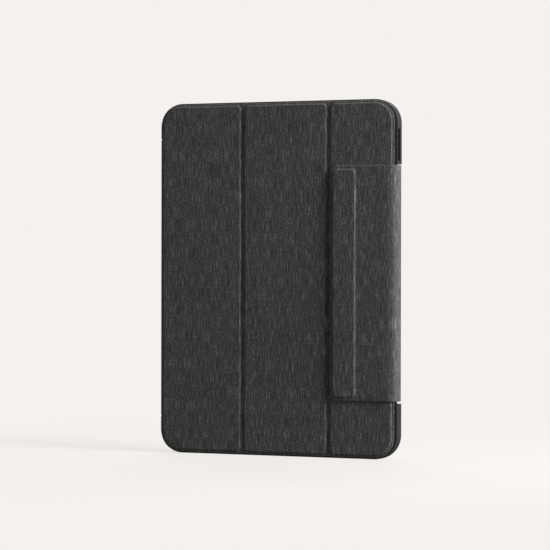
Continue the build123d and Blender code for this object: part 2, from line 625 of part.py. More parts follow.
BATTERY_LEFT = 22.0
BATTERY_RIGHT = 140.0
BATTERY_THICK = 1.6
BATTERY_CORNER = 1.0
with BuildPart() as keyboard_battery:
    with BuildSketch(keyboard_plane(BASE_FLOOR)):
        with Locations(((BATTERY_LEFT + BATTERY_RIGHT) / 2, strip_y)):
            RectangleRounded(BATTERY_RIGHT - BATTERY_LEFT, STRIP_DEPTH, BATTERY_CORNER)
    extrude(amount=BATTERY_THICK)
keyboard_battery.part.label = "keyboard_battery"
export_step(keyboard_battery.part, "parts/keyboard_battery.step")

with BuildPart() as keyboard_magnets:
    with BuildSketch(keyboard_plane(BASE_FLOOR - FOOT)):
        with Locations([(z, x) for x in MAGNET_X for z in MAGNET_Z]):
            Rectangle(MAGNET_LENGTH, MAGNET_WIDTH)
    extrude(amount=FOOT)
keyboard_magnets.part.label = "keyboard_magnets"
export_step(keyboard_magnets.part, "parts/keyboard_magnets.step")

FOOT_RADIUS = 4.0
FOOT_INSET = 9.0
with BuildPart() as keyboard_feet:
    with BuildSketch(keyboard_plane(-FOOT)):
        with Locations(keyboard_centre):
            with GridLocations(KEYBOARD_LENGTH - 2 * FOOT_INSET, KEYBOARD_WIDTH - 2 * FOOT_INSET, 2, 2):
                Circle(FOOT_RADIUS)
    extrude(amount=FOOT)
keyboard_feet.part.label = "keyboard_feet"
export_step(keyboard_feet.part, "parts/keyboard_feet.step")

LENS_PROUD = 0.05
with BuildPart() as status_lens:
    with BuildSketch(keyboard_plane(BASE_HEIGHT)):
        with Locations((LENS_X, strip_y)):
            Circle(LENS_RADIUS)
    extrude(amount=DECK + LENS_PROUD)
status_lens.part.label = "status_lens"
export_step(status_lens.part, "parts/status_lens.step")

SOCKET_WALL = 0.35
SOCKET_INSET = 0.2  # the socket stops this far inside the edge
SOCKET_BACK = 1.0
SOCKET_ROUND = 0.45  # corner radius as a share of the height
TONGUE_WIDTH = 6.4
TONGUE_THICK = 0.6
socket_mouth = KEYBOARD_MIDDLE + KEYBOARD_WIDTH / 2
socket_y = KEYBOARD_Y + PORT_LIFT + SOCKET_HEIGHT / 2
with BuildPart() as charge_port:
    with BuildSketch(Plane.YZ.offset(socket_mouth - SOCKET_LENGTH)):
        with Locations((socket_y, PORT_X)):
            RectangleRounded(SOCKET_HEIGHT, SOCKET_WIDTH, SOCKET_HEIGHT * SOCKET_ROUND)
    extrude(amount=SOCKET_LENGTH - SOCKET_INSET)
    with BuildSketch(Plane.YZ.offset(socket_mouth - SOCKET_LENGTH + SOCKET_BACK)):
        with Locations((socket_y, PORT_X)):
            RectangleRounded(SOCKET_HEIGHT - 2 * SOCKET_WALL, SOCKET_WIDTH - 2 * SOCKET_WALL,
                             (SOCKET_HEIGHT - 2 * SOCKET_WALL) * SOCKET_ROUND)
            Rectangle(TONGUE_THICK, TONGUE_WIDTH, mode=Mode.SUBTRACT)
    extrude(amount=SOCKET_LENGTH, mode=Mode.SUBTRACT)
charge_port.part.label = "charge_port"
export_step(charge_port.part, "parts/charge_port.step")

SWITCH_FLANGE = 0.5
SWITCH_PLAY = 0.1  # over and under the flange
SWITCH_PROUD = 0.5
GRIP_PITCH = 1.2
GRIP_WIDTH = 0.5
GRIP_DEPTH = 0.2
switch_start = SWITCH_X - (SWITCH_SLOT - SWITCH_NUB) / 2 + KEY_CLEAR
with BuildPart() as power_switch:
    with BuildSketch(keyboard_plane(BASE_HEIGHT - SWITCH_FLANGE - SWITCH_PLAY)):
        with Locations((switch_start, strip_y)):
            Rectangle(SWITCH_SLOT, 2 * SWITCH_WIDTH)
    extrude(amount=SWITCH_FLANGE - 2 * SWITCH_PLAY)
    with BuildSketch(keyboard_plane(BASE_HEIGHT - SWITCH_FLANGE)):
        with Locations((switch_start, strip_y)):
            Rectangle(SWITCH_NUB, SWITCH_WIDTH)
    extrude(amount=DECK + SWITCH_FLANGE + SWITCH_PROUD)
    # thumb grooves
    with BuildSketch(keyboard_plane(DECK_TOP + SWITCH_PROUD - GRIP_DEPTH)):
        with Locations((switch_start, strip_y)):
            with GridLocations(GRIP_PITCH, GRIP_PITCH, 3, 1):
                Rectangle(GRIP_WIDTH, SWITCH_WIDTH)
    extrude(amount=SWITCH_PROUD, mode=Mode.SUBTRACT)
power_switch.part.label = "power_switch"
export_step(power_switch.part, "parts/power_switch.step")

BUTTON_BOTTOM = 2.4
BUTTON_PROUD = 0.4
BUTTON_ROUND = 0.3
with BuildPart() as pairing_button:
    with BuildSketch(keyboard_plane(BUTTON_BOTTOM)):
        with Locations((BUTTON_X, strip_y)):
            Circle(BUTTON_RADIUS)
    extrude(amount=DECK_TOP + BUTTON_PROUD - BUTTON_BOTTOM)
    fillet(pairing_button.faces().sort_by(Axis.Y)[-1].edges(), BUTTON_ROUND)
pairing_button.part.label = "pairing_button"
export_step(pairing_button.part, "parts/pairing_button.step")

# keycaps: hollow below, with a softened top edge
CAP_ROUND = 1.2
CAP_EDGE = 0.4
CAP_WALL = 1.0
CAP_TOP = 0.9
cap_height = DECK_TOP + KEY_RISE - KEY_UNDERSIDE
for name, keys in key_groups.items():
    with BuildPart() as caps:
        for x, y, length, depth in keys:
            with BuildSketch(keyboard_plane(KEY_UNDERSIDE)):
                with Locations((x, y)):
                    RectangleRounded(length, depth, CAP_ROUND)
            extrude(amount=cap_height)
        fillet(caps.faces().group_by(Axis.Y)[-1].edges(), CAP_EDGE)
        for x, y, length, depth in keys:
            with BuildSketch(keyboard_plane(KEY_UNDERSIDE)):
                with Locations((x, y)):
                    Rectangle(length - 2 * CAP_WALL, depth - 2 * CAP_WALL)
            extrude(amount=cap_height - CAP_TOP, mode=Mode.SUBTRACT)
    caps.part.label = name
    export_step(caps.part, f"parts/{name}.step")
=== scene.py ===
"""Looks for the tablet keyboard case: cloth cover, spine and flap, tray, keyboard, studio."""
import json
import math

import bmesh
import bpy
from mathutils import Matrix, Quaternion, Vector


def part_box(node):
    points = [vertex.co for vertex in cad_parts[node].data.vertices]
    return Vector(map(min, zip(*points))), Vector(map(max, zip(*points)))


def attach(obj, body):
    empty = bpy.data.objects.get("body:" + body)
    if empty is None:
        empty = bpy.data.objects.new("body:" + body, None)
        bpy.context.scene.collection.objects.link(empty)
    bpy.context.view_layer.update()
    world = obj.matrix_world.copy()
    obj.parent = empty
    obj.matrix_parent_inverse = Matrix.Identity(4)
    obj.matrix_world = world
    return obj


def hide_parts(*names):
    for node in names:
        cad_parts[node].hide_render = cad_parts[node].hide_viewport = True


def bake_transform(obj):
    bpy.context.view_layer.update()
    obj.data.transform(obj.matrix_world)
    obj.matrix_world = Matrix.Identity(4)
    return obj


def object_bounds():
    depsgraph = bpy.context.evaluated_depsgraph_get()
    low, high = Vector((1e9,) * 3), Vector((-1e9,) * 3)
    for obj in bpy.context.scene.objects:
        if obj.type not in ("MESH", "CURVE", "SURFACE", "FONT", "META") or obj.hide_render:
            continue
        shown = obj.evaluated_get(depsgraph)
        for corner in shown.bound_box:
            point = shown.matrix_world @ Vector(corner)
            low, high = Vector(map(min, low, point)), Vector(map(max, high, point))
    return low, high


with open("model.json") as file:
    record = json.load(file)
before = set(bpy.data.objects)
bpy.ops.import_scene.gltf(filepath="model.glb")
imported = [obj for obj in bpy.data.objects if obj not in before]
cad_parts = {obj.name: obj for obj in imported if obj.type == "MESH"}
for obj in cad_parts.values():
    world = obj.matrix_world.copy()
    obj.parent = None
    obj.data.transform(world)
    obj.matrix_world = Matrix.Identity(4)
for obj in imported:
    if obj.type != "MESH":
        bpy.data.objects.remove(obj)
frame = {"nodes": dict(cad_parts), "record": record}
cad_box = [list(corner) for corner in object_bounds()]

MM = 0.001
WELD = 1e-6  # points nearer than this are one
CUT_WELD = 1e-7  # and on the plane of a cut

tray_low, tray_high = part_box("tray_shell")

# ------------------------------------------------------------ camera
VIEW_AZIMUTH = math.radians(23.81)
VIEW_PITCH = math.radians(0.293)
VIEW_ROLL = math.radians(0.103)
VIEW_DISTANCE = 1.8062
VIEW_HEIGHT = 0.1384
VIEW_SIDE = 0.001285  # the optical axis passes this far left of the case's middle
LENS = 165.6
SENSOR = 36.0
CLIP_START = 0.1
CLIP_END = 50


def make_camera():
    """The photographer's camera: nearly level, to the case's right, far away with a long lens."""
    data = bpy.data.cameras.new("camera")
    data.lens = LENS
    data.sensor_width = SENSOR
    data.clip_start = CLIP_START
    data.clip_end = CLIP_END
    camera = bpy.data.objects.new("camera", data)
    bpy.context.scene.collection.objects.link(camera)
    back = Vector((math.sin(VIEW_AZIMUTH), -math.cos(VIEW_AZIMUTH), 0))
    right = Vector((math.cos(VIEW_AZIMUTH), math.sin(VIEW_AZIMUTH), 0))
    camera.location = Vector((0, tray_low.y, VIEW_HEIGHT)) + back * VIEW_DISTANCE - right * VIEW_SIDE
    look = -back * math.cos(VIEW_PITCH) - Vector((0, 0, math.sin(VIEW_PITCH)))
    camera.rotation_mode = "QUATERNION"
    camera.rotation_quaternion = look.to_track_quat("-Z", "Y") @ Quaternion((0, 0, 1), VIEW_ROLL)
    bpy.context.scene.camera = camera


# ------------------------------------------------------------ materials
NOISE_SHIFT = (1.0, 0.7, 0.3)  # how far a shift moves a noise along x, y and z


class Shade:
    """A material's node tree, with short calls to add nodes and join them."""

    def __init__(self, name):
        self.material = bpy.data.materials.new(name)
        self.material.use_nodes = True
        self.tree = self.material.node_tree
        self.shader = self.tree.nodes["Principled BSDF"]

    def node(self, kind, **settings):
        made = self.tree.nodes.new("ShaderNode" + kind)
        for key, value in settings.items():
            setattr(made, key, value)
        return made

    def join(self, source, target):
        self.tree.links.new(source, target)

    def coordinates(self, attribute=None):
        """Object coordinates, or the cloth's own coordinates from before it was bent."""
        if attribute:
            return self.node("Attribute", attribute_name=attribute).outputs["Vector"]
        return self.node("TexCoord").outputs["Object"]

    def noise(self, where, size, detail=2.0, roughness=0.5, shift=0.0):
        """Noise whose blobs are about size = (x, y, z) metres. Noises with different shifts don't match."""
        mapping = self.node("Mapping")
        mapping.inputs["Scale"].default_value = [1 / s for s in size]
        mapping.inputs["Location"].default_value = [shift * part for part in NOISE_SHIFT]
        noise = self.node("TexNoise")
        noise.inputs["Scale"].default_value = 1.0
        noise.inputs["Detail"].default_value = detail
        noise.inputs["Roughness"].default_value = roughness
        self.join(where, mapping.inputs["Vector"])
        self.join(mapping.outputs["Vector"], noise.inputs["Vector"])
        return noise.outputs["Fac"]

    def math(self, operation, first, second=None, third=None):
        node = self.node("Math", operation=operation)
        for socket, value in zip(node.inputs, (first, second, third)):
            if isinstance(value, (int, float)):
                socket.default_value = value
            elif value is not None:
                self.join(value, socket)
        return node.outputs[0]

    def mix(self, *parts):
        """Values added up, each with its share: parts are (value, share)."""
        total = None
        for value, share in parts:
            part = self.math("MULTIPLY", value, share)
            total = part if total is None else self.math("ADD", total, part)
        return total

    def ramp(self, value, *stops):
        """Colours along a value: stops are (place, grey or colour)."""
        ramp = self.node("ValToRGB")
        points = ramp.color_ramp.elements
        while len(points) < len(stops):
            points.new(0.5)
        for point, (place, colour) in zip(points, stops):
            point.position = place
            point.color = (*colour, 1) if isinstance(colour, tuple) else (colour, colour, colour, 1)
        self.join(value, ramp.inputs["Fac"])
        return ramp.outputs["Color"]

    def bump(self, height, distance, strength=1.0, under=None):
        bump = self.node("Bump")
        bump.inputs["Distance"].default_value = distance
        bump.inputs["Strength"].default_value = strength
        self.join(height, bump.inputs["Height"])
        if under:
            self.join(under, bump.inputs["Normal"])
        return bump.outputs["Normal"]

    def weave(self, where, thread):
        """Height of a plain weave with threads of this width."""
        parts = self.node("SeparateXYZ")
        self.join(where, parts.inputs[0])
        across = self.math("SINE", self.math("MULTIPLY", parts.outputs["X"], math.pi / thread))
        along = self.math("SINE", self.math("MULTIPLY", parts.outputs["Y"], math.pi / thread))
        return self.math("MULTIPLY", across, along)

    def finish(self, colour=None, normal=None, roughness=None, **inputs):
        if colour:
            self.join(colour, self.shader.inputs["Base Color"])
        if normal:
            self.join(normal, self.shader.inputs["Normal"])
        if roughness is not None and not isinstance(roughness, float):
            self.join(roughness, self.shader.inputs["Roughness"])
        elif roughness is not None:
            self.shader.inputs["Roughness"].default_value = roughness
        for key, value in inputs.items():
            self.shader.inputs[key.replace("_", " ")].default_value = value
        return self.material


THREAD = 0.42 * MM
THREAD_HEIGHT = 0.05 * MM
FIBRE_HEIGHT = 0.35 * MM
HEATHER_GREYS = (
    (0.35, (0.004, 0.004, 0.004)),
    (0.46, (0.019, 0.019, 0.0187)),
    (0.54, (0.040, 0.040, 0.0393)),
    (0.66, (0.126, 0.126, 0.124)),
)
NAP_HEIGHT = 0.12 * MM
CLOUD = 18 * MM
LINE_LENGTH = 9 * MM
LINE_WIDTH = 0.1 * MM
SMOOTH_HEIGHT = 0.01 * MM  # of the fine lines on metal and the haze on a lens


def heather_cloth():
    """Charcoal heathered canvas: fine upright fibres of mixed greys over a plain weave."""
    shade = Shade("heather_cloth")
    where = shade.coordinates("cloth_uv")
    long_fibres = shade.noise(where, (0.8 * MM, 10.0 * MM, MM), 2.0, 0.6)
    short_fibres = shade.noise(where, (0.6 * MM, 1.7 * MM, MM), 2.0, 0.6, 37.0)
    flecks = shade.noise(where, (0.6 * MM, 0.8 * MM, MM), 1.0, 0.5, 53.0)
    patches = shade.noise(where, (5 * MM, 30 * MM, MM), 2.0, 0.5, 11.0)
    mixed = shade.mix((long_fibres, 0.42), (short_fibres, 0.34), (flecks, 0.17), (patches, 0.07))
    colour = shade.ramp(mixed, *HEATHER_GREYS)
    threads = shade.bump(shade.weave(where, THREAD), THREAD_HEIGHT, 0.6)
    normal = shade.bump(mixed, FIBRE_HEIGHT, 0.7, threads)
    return shade.finish(colour, normal, 0.86, Sheen_Weight=0.12, Sheen_Roughness=0.5, Specular_IOR_Level=0.25)


def microfibre():
    """Short brushed nap: soft mottling and almost no gloss."""
    shade = Shade("microfibre")
    where = shade.coordinates("cloth_uv")
    nap = shade.noise(where, (0.5 * MM, 0.7 * MM, MM), 3.0, 0.6)
    brushed = shade.noise(where, (6 * MM, 4 * MM, MM), 3.0, 0.6, 5.0)
    colour = shade.ramp(shade.mix((nap, 0.75), (brushed, 0.25)), (0.3, 0.030), (0.7, 0.068))
    normal = shade.bump(nap, NAP_HEIGHT, 0.5)
    return shade.finish(colour, normal, 0.95, Sheen_Weight=0.16, Sheen_Roughness=0.4, Specular_IOR_Level=0.2)


def moulded(name, dark, light, gloss, grain=0.18 * MM, depth=0.012 * MM, specular=0.5):
    """Moulded plastic, rubber or board: a fine grain, with slightly cloudy colour and gloss."""
    shade = Shade(name)
    where = shade.coordinates()
    texture = shade.noise(where, (grain, grain, grain), 2.0, 0.6)
    clouds = shade.noise(where, (CLOUD, CLOUD, CLOUD), 3.0, 0.5)
    colour = shade.ramp(shade.mix((clouds, 0.7), (texture, 0.3)), (0.32, dark), (0.68, light))
    rough = shade.math("ADD", shade.math("MULTIPLY", clouds, 0.16), gloss)
    return shade.finish(colour, shade.bump(texture, depth, 0.8), rough, Specular_IOR_Level=specular)


def brushed_metal(name, colour, gloss, metallic=1.0):
    """Rolled, plated or foil metal with fine upright lines."""
    shade = Shade(name)
    where = shade.coordinates()
    lines = shade.noise(where, (LINE_WIDTH, LINE_WIDTH, LINE_LENGTH), 3.0, 0.6)
    tint = shade.ramp(lines, (0.3, tuple(c * 0.8 for c in colour)), (0.7, colour))
    rough = shade.math("ADD", shade.math("MULTIPLY", lines, 0.2), gloss)
    return shade.finish(tint, shade.bump(lines, SMOOTH_HEIGHT, 0.5), rough, Metallic=metallic)


def clear_lens():
    """Clear plastic with a faint haze, over the status light."""
    shade = Shade("clear_lens")
    where = shade.coordinates()
    haze = shade.noise(where, (0.4 * MM, 0.4 * MM, 0.4 * MM), 2.0)
    colour = shade.ramp(haze, (0.3, (0.8, 0.86, 0.83)), (0.7, (0.92, 0.96, 0.94)))
    return shade.finish(colour, shade.bump(haze, SMOOTH_HEIGHT, 0.4), 0.15, Transmission_Weight=0.6, IOR=1.49)


def make_materials():
    """One material for each slot of the record."""
    return {
        "heather_cloth": heather_cloth(),
        "microfibre": microfibre(),
        "tray_plastic": moulded("tray_plastic", 0.009, 0.014, 0.54, specular=0.3),
        "soft_trim": moulded("soft_trim", 0.018, 0.024, 0.62, 0.3 * MM, 0.02 * MM),
        "magnet_steel": brushed_metal("magnet_steel", (0.55, 0.55, 0.56), 0.22),
        "stiff_board": moulded("stiff_board", 0.10, 0.14, 0.7, 0.6 * MM, 0.03 * MM),
        "keyboard_case": moulded("keyboard_case", 0.036, 0.048, 0.42),
        "keycaps": moulded("keycaps", 0.020, 0.027, 0.44, 0.12 * MM, 0.008 * MM),
        "switch_plastic": moulded("switch_plastic", 0.06, 0.075, 0.28),
        "plate_metal": brushed_metal("plate_metal", (0.6, 0.6, 0.62), 0.3),
        "membrane_film": moulded("membrane_film", 0.42, 0.5, 0.2),
        "board_green": moulded("board_green", (0.02, 0.13, 0.05), (0.035, 0.18, 0.08), 0.25),
        "battery_foil": brushed_metal("battery_foil", (0.5, 0.5, 0.5), 0.3, 0.6),
        "clear_lens": clear_lens(),
    }


# ------------------------------------------------------------ cloth drawn flat
CORNER_STEPS = 10
TURN_STEP = math.radians(9)  # of a bent cloth, from one column to the next


class FlatSheet:
    """A cloth's outer face before it is bent: points (along, up, depth) and faces, counterclockwise.

    Depth is measured inward from the plain outer face, so a raised place lies below zero.
    """

    def __init__(self):
        self.points = []
        self.faces = []
        self.index = {}

    def point(self, along, up, depth=0.0):
        key = (round(along / WELD), round(up / WELD))
        if key not in self.index:
            self.index[key] = len(self.points)
            self.points.append((along, up, depth))
        return self.index[key]

    def face(self, corners):
        ring = [corner for corner, before in zip(corners, corners[-1:] + corners[:-1]) if corner != before]
        if len(ring) > 2:
            self.faces.append(ring)

    def plain_cell(self, columns, rows):
        """Plain cloth between columns and rows."""
        grid = [[self.point(along, up) for up in rows] for along in columns]
        for here, there in zip(grid, grid[1:]):
            for i in range(len(rows) - 1):
                self.face([here[i], there[i], there[i + 1], here[i + 1]])

    def raised_cell(self, cell, insets, radii, depths, across, rows):
        """Cloth over a board. Each ring of points has its own insets, corner radii and depth.

        cell and insets go left, right, low, high. radii go round from the low left corner, counterclockwise.
        """
        rings = []
        for step, depth in enumerate(depths):
            left, right, low, high = (side[step] for side in insets)
            outline = rounded_ring((cell[0] + left, cell[1] - right, cell[2] + low, cell[3] - high),
                                   [corner[step] for corner in radii], across, rows)
            rings.append([self.point(along, up, depth) for along, up in outline])
        for outer, inner in zip(rings, rings[1:]):
            for i in range(len(outer)):
                self.face([outer[i - 1], outer[i], inner[i], inner[i - 1]])
        self.face(rings[-1])

    def border(self):
        """The open edge's points, counterclockwise, and the outward direction at each."""
        edges = {(a, b) for ring in self.faces for a, b in zip(ring, ring[1:] + ring[:1])}
        after = {a: b for a, b in edges if (b, a) not in edges}
        loop = [min(after)]
        while after[loop[-1]] != loop[0]:
            loop.append(after[loop[-1]])
        away = []
        for i, here in enumerate(loop):
            before, following = loop[i - 1], loop[(i + 1) % len(loop)]
            total = Vector((0, 0))
            for a, b in ((before, here), (here, following)):
                run = Vector(self.points[b][:2]) - Vector(self.points[a][:2])
                total += Vector((run.y, -run.x)).normalized()
            away.append(total / (total.length_squared / 2))
        return loop, away


def rounded_ring(cell, radii, across, rows):
    """A rectangle with rounded corners, counterclockwise from the low left one."""
    left, right, low, high = cell
    corners = (
        (left, low, 1, 1, 180),
        (right, low, -1, 1, 270),
        (right, high, -1, -1, 0),
        (left, high, 1, -1, 90),
    )
    arcs = []
    for (x, z, inward_x, inward_z, start), radius in zip(corners, radii):
        centre = (x + inward_x * radius, z + inward_z * radius)
        angles = [math.radians(start + 90 * step / CORNER_STEPS) for step in range(CORNER_STEPS + 1)]
        arcs.append([(centre[0] + radius * math.cos(a), centre[1] + radius * math.sin(a)) for a in angles])
    points = []
    for i, arc in enumerate(arcs):
        points += arc
        (x0, z0), (x1, z1) = arc[-1], arcs[(i + 1) % len(arcs)][0]
        count = rows if i % 2 else across
        points += [(x0 + (x1 - x0) * k / count, z0 + (z1 - z0) * k / count) for k in range(1, count)]
    return points


def even(first, last, count):
    """Both ends and the places that split the run between them into count equal steps."""
    return [first + (last - first) * k / count for k in range(count + 1)]


class Path:
    """A sheet's course seen from above: its outer face is on the right of the way it runs.

    Each step is a straight length, or (radius, degrees) for a turn to the left.
    """

    def __init__(self, start, heading, *steps):
        self.parts = []
        here, along, heading = Vector(start), 0.0, math.radians(heading)
        for step in steps:
            radius, turn = step if isinstance(step, tuple) else (None, None)
            length = radius * math.radians(turn) if radius else step
            self.parts.append((along, length, here.copy(), heading, radius))
            here = self.at(along + length, 0.0)
            along += length
            heading += math.radians(turn) if radius else 0.0
        self.length = along

    def at(self, along, depth):
        """The place at a distance along the outer face and a depth under it."""
        start, _, here, heading, radius = next(
            (part for part in self.parts if along <= part[0] + part[1] + WELD), self.parts[-1])
        inward = Vector((-math.sin(heading), math.cos(heading)))
        if radius is None:
            return here + Vector((math.cos(heading), math.sin(heading))) * (along - start) + inward * depth
        turned = heading + (along - start) / radius
        return here + inward * radius + Vector((math.sin(turned), -math.cos(turned))) * (radius - depth)

    def columns(self, first, last, run_step):
        """Places along the path, close together where it turns."""
        places = {round(first / WELD): first, round(last / WELD): last}
        for start, length, _, _, radius in self.parts:
            count = math.ceil(length / (radius * TURN_STEP if radius else run_step))
            for place in even(start, start + length, count):
                if first < place < last:
                    places[round(place / WELD)] = place
        return [places[key] for key in sorted(places)]


def closed_sheet(name, flat, path, outer, inner, edge, relief):
    """A closed sheet of cloth bent along a path.

    outer and inner are each face's (border's outward step, depth). edge has the same pairs for the rings of
    points between them, from the outer face round to the inner one. relief says whether raised places show.
    """
    loop, away = flat.border()
    direction = dict(zip(loop, away))
    places = []
    for step, depth in (outer, inner):
        for i, (along, up, raised) in enumerate(flat.points):
            shift = direction[i] * step if i in direction else Vector((0, 0))
            places.append((along + shift.x, up + shift.y, depth + (raised if relief else 0.0)))
    count = len(flat.points)
    faces = [list(ring) for ring in flat.faces]
    faces += [[corner + count for corner in reversed(ring)] for ring in flat.faces]
    rings = [loop]
    for step, depth in edge:
        rings.append(list(range(len(places), len(places) + len(loop))))
        for i in loop:
            along, up, _ = flat.points[i]
            places.append((along + direction[i].x * step, up + direction[i].y * step, depth))
    rings.append([i + count for i in loop])
    for here, there in zip(rings, rings[1:]):
        faces += [[here[i], here[i - 1], there[i - 1], there[i]] for i in range(len(loop))]
    mesh = bpy.data.meshes.new(name)
    mesh.from_pydata([(*path.at(along, depth), up) for along, up, depth in places], [], faces)
    cloth = mesh.attributes.new("cloth_uv", "FLOAT_VECTOR", "POINT")
    cloth.data.foreach_set("vector", [value for along, up, _ in places for value in (along, up, 0.0)])
    mesh.shade_smooth()
    piece = bpy.data.objects.new(name, mesh)
    bpy.context.scene.collection.objects.link(piece)
    return piece


HEM = 0.35 * MM
HEM_END = 0.3  # the hem's cut end stops at this share of the lining's thickness, from the cloth
LINING_INSET = 1.2 * HEM  # from the cloth's border to the lining's
LINING_FACE_INSET = 1.6 * HEM  # and to the lining's bare face, inside its soft edge
ROLL_STEPS = 6


def rolled_edge(thick, cloth):
    """Steps of a turned edge: half round over the whole thickness, then a hem on the back."""
    radius = thick / 2
    angles = [math.pi * step / ROLL_STEPS for step in range(1, ROLL_STEPS + 1)]
    steps = [(radius * math.sin(a), radius - radius * math.cos(a)) for a in angles]
    return steps + [(-HEM, thick), (-HEM, cloth + (thick - cloth) * HEM_END)]


def cut_in_two(piece, names, place, direction):
    """Cuts a closed piece at a plane into two closed pieces. The first one lies behind the plane."""
    made = []
    for name, keep_inner in zip(names, (True, False)):
        work = bmesh.new()
        work.from_mesh(piece.data)
        bmesh.ops.bisect_plane(work, geom=work.verts[:] + work.edges[:] + work.faces[:],
                               dist=CUT_WELD, plane_co=place, plane_no=direction,
                               clear_outer=keep_inner, clear_inner=not keep_inner)
        seam = [edge for edge in work.edges if edge.is_boundary]
        for edge in seam:
            edge.smooth = False
        for cap in bmesh.ops.holes_fill(work, edges=seam)["faces"]:
            cap.smooth = False
        mesh = bpy.data.meshes.new(name)
        work.to_mesh(mesh)
        work.free()
        half = bpy.data.objects.new(name, mesh)
        bpy.context.scene.collection.objects.link(half)
        made.append(half)
    bpy.data.objects.remove(piece)
    return made


def dress(piece, slot, nodes):
    """Gives a piece its material and slot, and hides the CAD nodes it stands for."""
    piece.data.materials.append(materials[slot])
    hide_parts(*nodes)


class Half:
    """One half of a sheet that is cut in two: its name, its flat width, and where it bends between bodies.
    The width and the bend are not used.
    """

    def __init__(self, name, width, board, bodies, start, end, cloth_nodes, lining_nodes):
        self.name = name
        self.width = width
        self.board = board
        self.bodies = bodies
        self.start = start
        self.end = end
        self.nodes = {"cloth": cloth_nodes, "lining": lining_nodes}


def lined_sheet(name, flat, path, cloth, thick, relief, seam, direction, halves):
    """Makes a cloth and the lining on its back, each cut in two at the seam.

    cloth is the cloth's own thickness, and thick that of both. The lining doesn't take up the relief.
    """
    layers = (
        ("cloth", "heather_cloth", relief, (0.0, 0.0), (-HEM, cloth), rolled_edge(thick, cloth)),
        ("lining", "microfibre", False, (-LINING_INSET, cloth), (-LINING_FACE_INSET, thick),
         [(-LINING_INSET, thick - (thick - cloth) / 3)]),
    )
    for layer, slot, raised, outer, inner, edge in layers:
        whole = closed_sheet(f"{name}_{layer}", flat, path, outer, inner, edge, raised)
        names = [f"{name}_{layer}_{half.name}" for half in halves]
        for piece, half in zip(cut_in_two(whole, names, seam, direction), halves):
            dress(piece, slot, half.nodes[layer])
            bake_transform(piece)


# ------------------------------------------------------------ cloth raised over boards
CLOTH_ROWS = 40
PANEL_COLUMNS = 16
RISE_STEPS = 7
PLAIN_RINGS = 5
SUPPORT = 0.5 * MM  # one more ring of flat cloth past the climb


def climb(height):
    """Ring depths: plain cloth, then up over a board's edge with a crisp foot and a round top."""
    turns = [math.sin(math.pi / 2 * step / RISE_STEPS) for step in range(1, RISE_STEPS + 1)]
    return [0.0] * PLAIN_RINGS + [-height * turn for turn in turns] + [-height]


def track(foot, top, first=0.0):
    """Ring insets on one side, from the cell's edge to past the climb. first is the second ring's inset."""
    plain = [0.0] + even(first, foot, PLAIN_RINGS - 2) if first else even(0.0, foot, PLAIN_RINGS - 1)
    rise = even(foot, top, RISE_STEPS)[1:]
    return plain + rise + [top + SUPPORT]


def inner_rounding(insets, corner, foot, shrink):
    """Corner radii on an inner side: from none at the cell's edge to full, then less up the climb."""
    return [corner * min(1.0, step / (PLAIN_RINGS - 1)) - max(0.0, inset - foot) * shrink
            for step, inset in enumerate(insets)]


# ------------------------------------------------------------ cover
COVER_CORNER = 14.5 * MM
RAISE_FREE = (1.3 * MM, 2.4 * MM)  # where the cloth climbs over a board's edge, from the cloth's edge
RAISE_FOLD = (1.35 * MM, 2.35 * MM)  # and from a fold line
FOLD_CORNER = 3.4 * MM
FOLD_SHRINK = 0.8  # a corner by a fold loses this share of each step up the climb
COVER_RUN = 1.0  # the cover's path is one straight run, longer than the cover


def make_cover():
    """The cover's cloth and lining over its three panels, cut in two halves that each hold one fold line."""
    left_low, left_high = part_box("left_fabric")
    middle_low, middle_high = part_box("middle_fabric")
    right_low, right_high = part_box("right_fabric")
    board_low, board_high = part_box("left_board")
    height = board_high.y - board_low.y
    rim_y = left_low.y + height
    cloth = left_high.y - rim_y
    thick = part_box("left_lining")[1].y - rim_y
    edge = thick / 2
    folds = ((left_high.x + middle_low.x) / 2, (middle_high.x + right_low.x) / 2)
    low, high = left_low.z + edge, left_high.z - edge
    depths = climb(height)
    free = track(RAISE_FREE[0] - edge, RAISE_FREE[1] - edge, 2 * HEM)
    fold = track(*RAISE_FOLD)
    round_free = [COVER_CORNER - edge - inset for inset in free]
    round_fold = inner_rounding(fold, FOLD_CORNER, RAISE_FOLD[0], FOLD_SHRINK)

    flat = FlatSheet()
    panels = (
        (left_low.x + edge, folds[0], free, fold),
        (folds[0], folds[1], fold, fold),
        (folds[1], right_high.x - edge, fold, free),
    )
    for start, end, left, right in panels:
        left_round = round_free if left is free else round_fold
        right_round = round_free if right is free else round_fold
        flat.raised_cell((start, end, low, high), (left, right, free, free),
                         (left_round, right_round, right_round, left_round),
                         depths, PANEL_COLUMNS, CLOTH_ROWS)
    seam = Vector(((folds[0] + folds[1]) / 2, 0, 0))
    bends = [((x - RAISE_FOLD[0], 0, 0), (x + RAISE_FOLD[0], 0, 0)) for x in folds]
    halves = (
        Half("left", seam.x - left_low.x, "left_board", ("panel_left", "panel_middle"),
             *bends[0], ("left_fabric", "middle_fabric"), ("left_lining", "middle_lining")),
        Half("right", right_high.x - seam.x, "middle_board", ("panel_middle", "panel_right"),
             *bends[1], ("right_fabric",), ("right_lining",)),
    )
    lined_sheet("cover", flat, Path((0.0, rim_y), 0.0, COVER_RUN), cloth, thick, True, seam, (1, 0, 0),
                halves)


# ------------------------------------------------------------ spine
SPINE_BACK_TURN = 1.6 * MM
SPINE_FRONT_TURN = 2.1 * MM
SPINE_LAP = 1.5 * MM  # the spine's cloth runs this far onto the cover's edge
SPINE_LAP_TURN = 96.0
SPINE_LAP_RISE = 0.22 * MM
SPINE_SEAM = 0.2  # the two halves meet at this share of the flat of the spine, from the back
SPINE_COLUMN = 1.2 * MM


